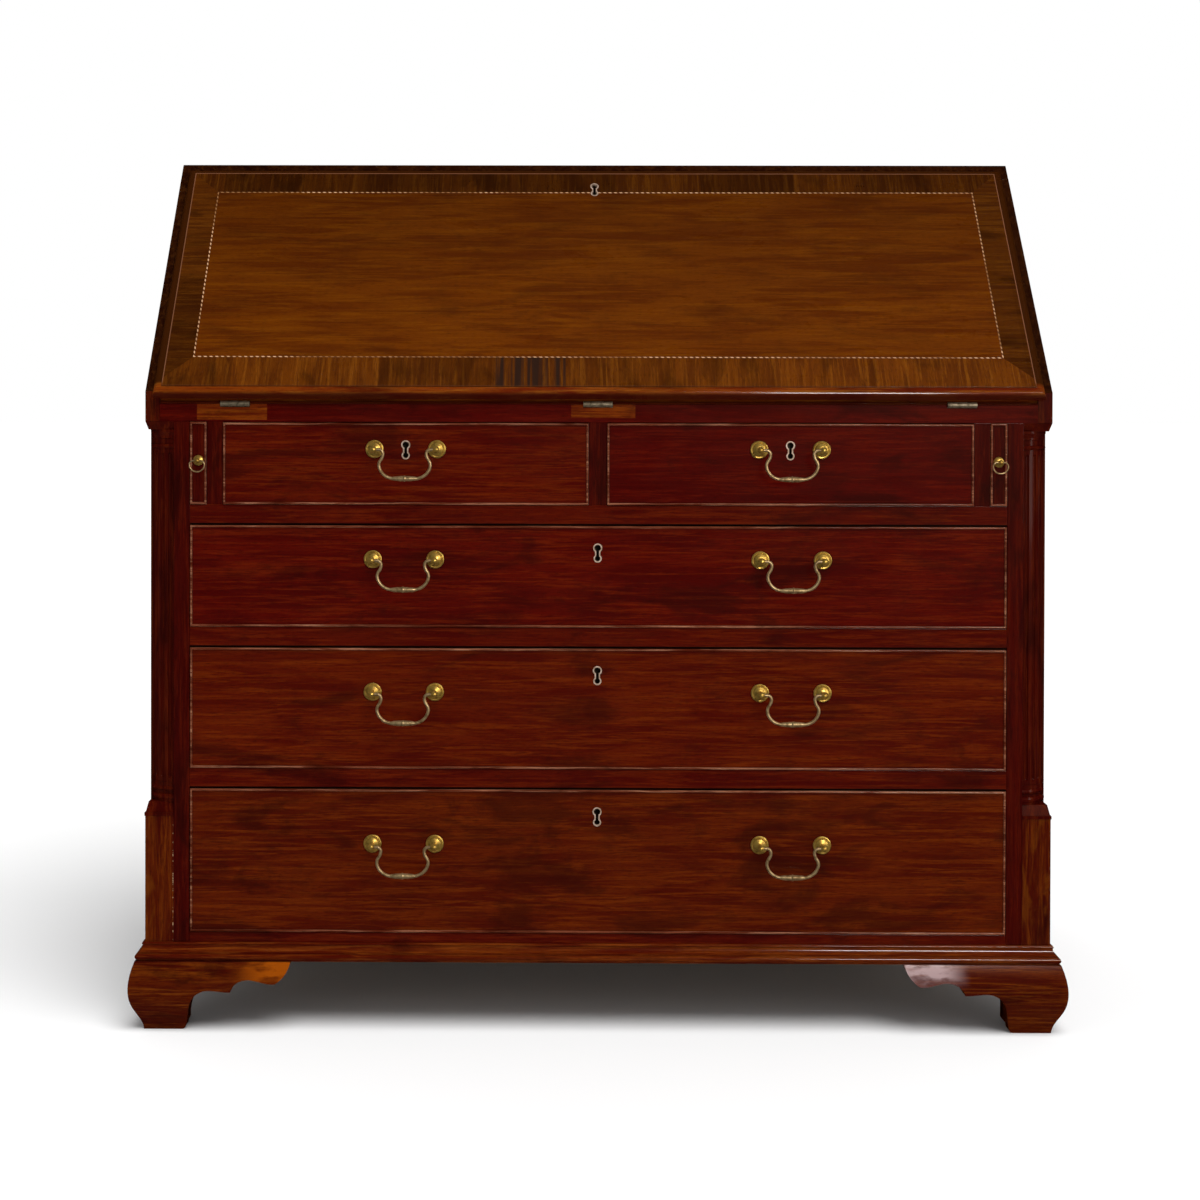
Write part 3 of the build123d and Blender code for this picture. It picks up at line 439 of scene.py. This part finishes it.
def studs(name, places, radius, rise, facing, body, material, sides=8):
    """Small low heads in one piece, each a disc with a raised middle, standing on a surface."""
    shape = bmesh.new()
    turn = Vector(facing).to_track_quat("Z", "Y").to_matrix()
    for place in places:
        rim = []
        for step in range(sides):
            angle = 2 * pi * step / sides
            low = Vector((radius * cos(angle), radius * sin(angle), 0))
            rim.append(shape.verts.new(turn @ low + Vector(place)))
        crown = []
        for step in range(sides):
            angle = 2 * pi * (step + 0.5) / sides
            high = Vector((0.55 * radius * cos(angle), 0.55 * radius * sin(angle), rise))
            crown.append(shape.verts.new(turn @ high + Vector(place)))
        shape.faces.new(crown)
        for step in range(sides):
            after = (step + 1) % sides
            shape.faces.new((rim[step], rim[after], crown[step]))
            shape.faces.new((rim[after], crown[after], crown[step]))
    mesh = bpy.data.meshes.new(name)
    shape.to_mesh(mesh)
    shape.free()
    mesh.materials.append(material)
    made = bpy.data.objects.new(name, mesh)
    bpy.context.scene.collection.objects.link(made)
    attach(made, body)


mix = Recipe("nail_iron")
rust = mix.noise(mix.place, 240, 4, 0.6)
mix.set(Base_Color=mix.blend(mix.between(rust, 0.35, 0.65), (0.035, 0.03, 0.028), (0.09, 0.04, 0.02)))
mix.set(Metallic=0.6, Roughness=mix.between(rust, 0.3, 0.7, 0.5, 0.8))
back_bottom = 0.095
back_top = 1.07
nail_places = []
for joint in (0.1, *back_joints, 1.062):
    for side in (-1, 1):
        for rise in (-nail_off_joint, nail_off_joint):
            if back_bottom < joint + rise < back_top:
                nail_places += [(side * column, back, joint + rise) for column in nail_columns]
studs("back_nails", nail_places, 0.0036, 0.0008, (0, 1, 0), "case", mix.material)

# The gallery behind the fall: pigeonholes under shaped valances, a cupboard in the middle and four
# small drawers, of thin mahogany housed and glued, with little turned brass knobs.
gallery_tones = ((0.07, 0.008, 0.0008), (0.11, 0.02, 0.0015), (0.17, 0.045, 0.004))
gallery_wood = mahogany("gallery_mahogany", "x", *gallery_tones)
gallery_front = front + 0.262
mix = Recipe("knob_brass")
worn = mix.noise(mix.place, 260, 4, 0.6)
mix.set(Base_Color=mix.blend(mix.between(worn, 0.35, 0.7), (0.85, 0.56, 0.12), (0.4, 0.22, 0.04)))
mix.set(Metallic=0.85, Roughness=mix.between(worn, 0.3, 0.7, 0.28, 0.45))
knob_brass = mix.material


def on_knob(face, corners):
    """The turned knob, the only part of a small front that stands before it."""
    nearest = min(corner.y for corner in corners)
    furthest = max(corner.y for corner in corners)
    return furthest < gallery_front + 0.0002 and nearest < gallery_front - 0.00004


dress("pigeonholes", gallery_wood)
for name in nodes:
    if name == "cupboard_door" or name.startswith("small_drawer"):
        dress(name, gallery_wood, (knob_brass, on_knob))

# The fall: a board clamped at its ends and veneered, its broad field framed by a chequered string
# and a band of cross-grained veneer laid in short lengths, with a thumbnail bead round the edge.
up_slope = (0, cos(slope), sin(slope))
off_slope = (0, -sin(slope), cos(slope))
hinge_line = (0, front, writing_height)
string_half = 0.5035
string_low = 0.0574
string_high = 0.349
fall_half = 0.5485
fall_length = 0.396
bead_width = 0.011
middle_up = 0.19
dark_left, dark_right = -0.128, -0.04

mix = Recipe("fall_veneer")
across = mix.along((1, 0, 0))
up = mix.along(up_slope, hinge_line)
laid = mix.point(across, up, 0.0)
field_tones = ((0.068, 0.012, 0.0003), (0.1, 0.0215, 0.0003), (0.15, 0.041, 0.0006))
field, grain, clouds = figured(mix, laid, "x", *field_tones, streak=0.45, cloud=0.3)
# painted light: the field is brighter towards the hinge and darker towards the top, as if lit from low
# in front
painted_light_falloff = mix.between(up, 0.02, 0.38, 1.14, 0.82)
field = mix.blend(1.0, field, mix.point(painted_light_falloff, painted_light_falloff, painted_light_falloff), "MULTIPLY")
beyond_side = mix.math("SUBTRACT", mix.math("ABSOLUTE", across), string_half)
over = mix.math("SUBTRACT", up, string_high)
beyond_end = mix.math("MAXIMUM", over, mix.math("SUBTRACT", string_low, up))
end_band = mix.between(mix.math("SUBTRACT", beyond_end, beyond_side), -0.0003, 0.0003)
in_band = mix.between(mix.math("MAXIMUM", beyond_side, beyond_end), -0.0003, 0.0003)
band_tones = ((0.04, 0.0085, 0.0006), (0.062, 0.0145, 0.0006), (0.095, 0.027, 0.0015))
upright_band, _, _ = figured(mix, laid, "y", *band_tones, shift=(0, 0, 3), streak=0.8)
level_band, _, _ = figured(mix, laid, "x", *band_tones, shift=(0, 0, 5), streak=0.8)
band = mix.blend(end_band, level_band, upright_band)
lengths = mix.tree.nodes.new("ShaderNodeTexVoronoi")
lengths.voronoi_dimensions = "1D"
lengths.inputs["Scale"].default_value = 9
upper_half = mix.between(up, middle_up, middle_up + 0.01)
mix.put(lengths.inputs["W"], mix.math("ADD", across, mix.math("MULTIPLY", upper_half, 5.3)))
shade = mix.between(lengths.outputs["Color"], 0.1, 0.9, 0.78, 1.22)
low_band = mix.both(end_band, mix.math("SUBTRACT", 1.0, upper_half))
high_band = mix.both(end_band, upper_half)
lighter = mix.math("MULTIPLY_ADD", low_band, 0.7, mix.math("MULTIPLY_ADD", high_band, -0.22, 1.0))
shade = mix.both(shade, lighter)
band = mix.blend(1.0, band, mix.point(shade, shade, shade), "MULTIPLY")

# one length of the lower band is a much darker, striped piece
dark_length = mix.both(mix.inside(across, dark_left, dark_right), low_band)
stripes = mix.between(mix.noise(mix.stretched((95, 2, 1), laid), 1, 3), 0.44, 0.56, 0.1, 0.95)
band = mix.blend(mix.both(dark_length, stripes), band, (0.02, 0.009, 0.0055))
colour = mix.blend(in_band, field, band)

# the bead is amber along the bottom and dark elsewhere, with a painted highlight as a pale line along
# its inner edge and painted shade on its lowest edge over the hinges
past_side = mix.math("SUBTRACT", mix.math("ABSOLUTE", across), fall_half - bead_width)
past_top = mix.math("SUBTRACT", up, fall_length - bead_width)
past_end = mix.math("MAXIMUM", past_top, mix.math("SUBTRACT", bead_width, up))
past_edge = mix.math("MAXIMUM", past_side, past_end)
on_bead = mix.between(past_edge, -0.0008, 0.0008)
amber_tones = ((0.1, 0.009, 0.0008), (0.165, 0.03, 0.0015), (0.25, 0.075, 0.006))
bead_tone, _, _ = figured(mix, laid, "x", *amber_tones, shift=(0, 0, 9))
# painted shade: the lowest few millimetres of the bead, over the hinge recess, are darkened as if in
# shadow
bead_tone = mix.blend(mix.between(up, 0.001, 0.005, 0.9, 0), bead_tone, (0.03, 0.0016, 0.0006))
bead_tone = mix.blend(mix.between(up, 0.012, 0.02), bead_tone, (0.034, 0.008, 0.0008))
colour = mix.blend(on_bead, colour, bead_tone)
# painted highlight: a pale line along the inner edge of the bead
painted_groove_highlight = mix.inside(past_edge, -0.0012, 0.0002, 0.0003)
painted_groove_highlight = mix.both(painted_groove_highlight, mix.between(up, 0.012, 0.02, 0.15, 1))
colour = mix.blend(mix.both(painted_groove_highlight, 0.75), colour, (0.2, 0.08, 0.04))
polish(mix, colour, grain, clouds, 0.26, 0.6)
fall_wood = mix.material
inner_tones = ((0.05, 0.006, 0.0006), (0.08, 0.015, 0.001), (0.13, 0.034, 0.002))
fall_inner = mahogany("fall_inner_mahogany", "x", *inner_tones)


def inner_face(face, corners):
    """The side that is written on when the fall is open."""
    return face.normal.dot(Vector(off_slope)) < -0.9


dress("fall_board", fall_wood, (fall_inner, inner_face))
soften("fall_board", 0.0006)

chequer_pitch = 0.0072
mix = Recipe("chequer_string")
across = mix.along((1, 0, 0))
up = mix.along(up_slope, hinge_line)
turns = mix.math("MULTIPLY", mix.math("ADD", across, up), 2 * pi / chequer_pitch)
squares = mix.math("SINE", turns)
grubby = mix.noise(mix.place, 9, 3)
pale = mix.blend(mix.between(grubby, 0.42, 0.58), (0.6, 0.34, 0.18), (0.26, 0.115, 0.04))
chequer = mix.blend(mix.between(squares, -0.25, 0.25), (0.085, 0.027, 0.005), pale)
mix.set(Base_Color=chequer, Roughness=0.35, Specular_IOR_Level=0.3)
dress("fall_stringing", mix.material)

# Brass: cast and turned, lacquered gold once and now brown in the hollows. Posts pass through the
# drawer fronts to hold the bails; the hinge leaves are let in flush and screwed. The locks are iron.
def aged_brass(name, bright, dull, gloss, patches=170):
    mix = Recipe(name)
    tarnish = mix.noise(mix.place, patches, 5, 0.6, 0.4)
    fine = mix.noise(mix.place, patches * 6, 2, 0.5)
    mix.set(Base_Color=mix.blend(mix.between(tarnish, 0.38, 0.72), bright, dull), Metallic=0.85)
    mix.set(Roughness=mix.between(tarnish, 0.3, 0.75, gloss, gloss + 0.2))
    mix.bump(fine, 0.15, 0.0002)
    return mix.material


rosette_brass = aged_brass("rosette_brass", (0.85, 0.56, 0.12), (0.4, 0.22, 0.04), 0.3)
bail_brass = aged_brass("bail_brass", (0.7, 0.5, 0.25), (0.28, 0.17, 0.07), 0.4)
hinge_brass = aged_brass("hinge_brass", (0.4, 0.33, 0.22), (0.12, 0.09, 0.05), 0.5)
lock_iron = aged_brass("lock_iron", (0.05, 0.04, 0.03), (0.02, 0.015, 0.01), 0.6)
mix = Recipe("escutcheon_brass")
worn = mix.noise(mix.place, 300, 4, 0.6)
mix.set(Base_Color=mix.blend(mix.between(worn, 0.35, 0.65), (0.62, 0.46, 0.36), (0.36, 0.24, 0.16)))
mix.set(Metallic=0.35, Roughness=0.45)
escutcheon_brass = mix.material


def lock_behind(face, corners):
    """The lock's case, which shows dark through the keyhole."""
    return all(corner.y > front + 0.0105 for corner in corners)


def ring_of(name):
    """Picks out the thread that lines the keyhole, which stands between the posts of the front."""
    low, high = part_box(name)
    middle = (low[0] + high[0]) / 2

    def picks(face, corners):
        near = all(abs(corner.x - middle) < 0.0062 for corner in corners)
        return near and all(-0.0006 < corner.y - front < 0.0032 for corner in corners)

    return picks


# the screws stand a hair proud of the hinge leaves, two to a leaf
screw_brass = aged_brass("screw_brass", (0.35, 0.27, 0.15), (0.1, 0.07, 0.04), 0.4, 400)
screw_radius = 0.0032
screw_rise = 0.00012
screw_run = 0.021
case_screws = []
fall_screws = []
for middle in (-0.448, 0, 0.448):
    for aside in (-0.0105, 0.0105):
        knuckle = Vector(hinge_line) + Vector((middle + aside, 0, 0))
        case_screws.append(knuckle + screw_run * Vector((0, 1, 0)))
        fall_screws.append(knuckle + screw_run * Vector(up_slope))
for name, places, facing, body in (
    ("case_hinge_screws", case_screws, (0, 0, 1), "case"),
    ("fall_hinge_screws", fall_screws, -Vector(off_slope), "fall"),
):
    studs(name, places, screw_radius, screw_rise, facing, body, screw_brass, 12)

for name in nodes:
    if any(word in name for word in ("bail", "bolt", "drop")):
        dress(name, bail_brass)
    elif name.endswith("_fittings"):
        dress(name, rosette_brass, (escutcheon_brass, ring_of(name)), (lock_iron, lock_behind))
    elif "hinge" in name:
        dress(name, hinge_brass)
    elif "stud" in name:
        dress(name, rosette_brass)


def fall_ring(face, corners):
    """The thread round the keyhole, at the outer face of the fall."""
    return all((corner - Vector(hinge_line)).dot(Vector(off_slope)) > 0.0188 for corner in corners)


dress("fall_lock", lock_iron, (escutcheon_brass, fall_ring))

# Drawers and lopers: mahogany fronts with a thin cockbead glued round, on oak sides, backs and
# bottoms. No two fronts were cut from one board, so each has its own red or brown.
drawer_tones = {
    "top_left": ((0.058, 0.0012, 0.0003), (0.087, 0.0045, 0.0003), (0.135, 0.0145, 0.0005)),
    "top_right": ((0.048, 0.0004, 0.0003), (0.064, 0.0009, 0.0003), (0.1, 0.0045, 0.0005)),
    "upper": ((0.052, 0.0006, 0.0003), (0.078, 0.002, 0.0003), (0.122, 0.009, 0.0005)),
    "middle": ((0.06, 0.0022, 0.0003), (0.09, 0.0065, 0.0003), (0.138, 0.0175, 0.0005)),
    "lower": ((0.058, 0.003, 0.0003), (0.088, 0.0085, 0.0003), (0.135, 0.0195, 0.0005)),
}
# the cockbead's pale pinkish tones are partly the wood and partly a painted highlight along its
# rounded edge
cockbead_tones_and_sheen = ((0.075, 0.01, 0.003), (0.17, 0.045, 0.02), (0.4, 0.18, 0.1))
cockbead_wood_and_sheen = mahogany("cockbead_mahogany_and_sheen", "x", *cockbead_tones_and_sheen)


def cockbead_of(low, high):
    """Picks out the bead round a front that lies between two corners of a box."""
    width = 0.00253
    depth = 0.00996

    def picks(face, corners):
        if any(c.y > front + depth for c in corners):
            return False
        return all(min(c.x - low.x, high.x - c.x, c.z - low.z, high.z - c.z) < width for c in corners)

    return picks


# lapped dovetails: the ends of the oak sides show as fans in the ends of each front
oak_tones = ((0.16, 0.09, 0.04), (0.24, 0.145, 0.07), (0.33, 0.21, 0.11))
tail_pitch = 0.027
mix = Recipe("dovetailed_end")
colour, _, _ = figured(mix, mix.place, "x", *drawer_tones["lower"])
tail_oak, _, _ = figured(mix, mix.place, "y", *oak_tones)
run_in = mix.along((0, 1, 0), (0, front + 0.0104, 0))
ripple = mix.math("PINGPONG", mix.along((0, 0, 1)), tail_pitch / 2)
tail_half = mix.math("MULTIPLY_ADD", run_in, -0.25, 0.0095)
tail = mix.between(mix.math("SUBTRACT", ripple, tail_half), -0.0002, 0.0002, 1, 0)
tail = mix.both(tail, mix.between(run_in, -0.0002, 0.0002))
colour = mix.blend(tail, colour, tail_oak)
mix.set(Base_Color=colour, Roughness=0.55, Specular_IOR_Level=0.1)
dovetailed_end = mix.material


def end_of_front(face, corners):
    """The end grain of a front, behind its bead."""
    return abs(face.normal.x) > 0.99 and any(corner.y > front + 0.015 for corner in corners)


for place, tones in drawer_tones.items():
    name = f"drawer_{place}_front"
    low, high = (Vector(corner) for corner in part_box(name))
    wood = mahogany(f"drawer_{place}_mahogany", "x", *tones)
    dress(name, wood, (cockbead_wood_and_sheen, cockbead_of(low, high)), (dovetailed_end, end_of_front))
for name in ("loper_left", "loper_right"):
    low, high = (Vector(corner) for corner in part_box(name))
    dress(name, upright_wood, (cockbead_wood_and_sheen, cockbead_of(low, high)))
lining_oak = mahogany("lining_oak", "y", *oak_tones)
for name in nodes:
    if name.endswith("_box"):
        dress(name, lining_oak)
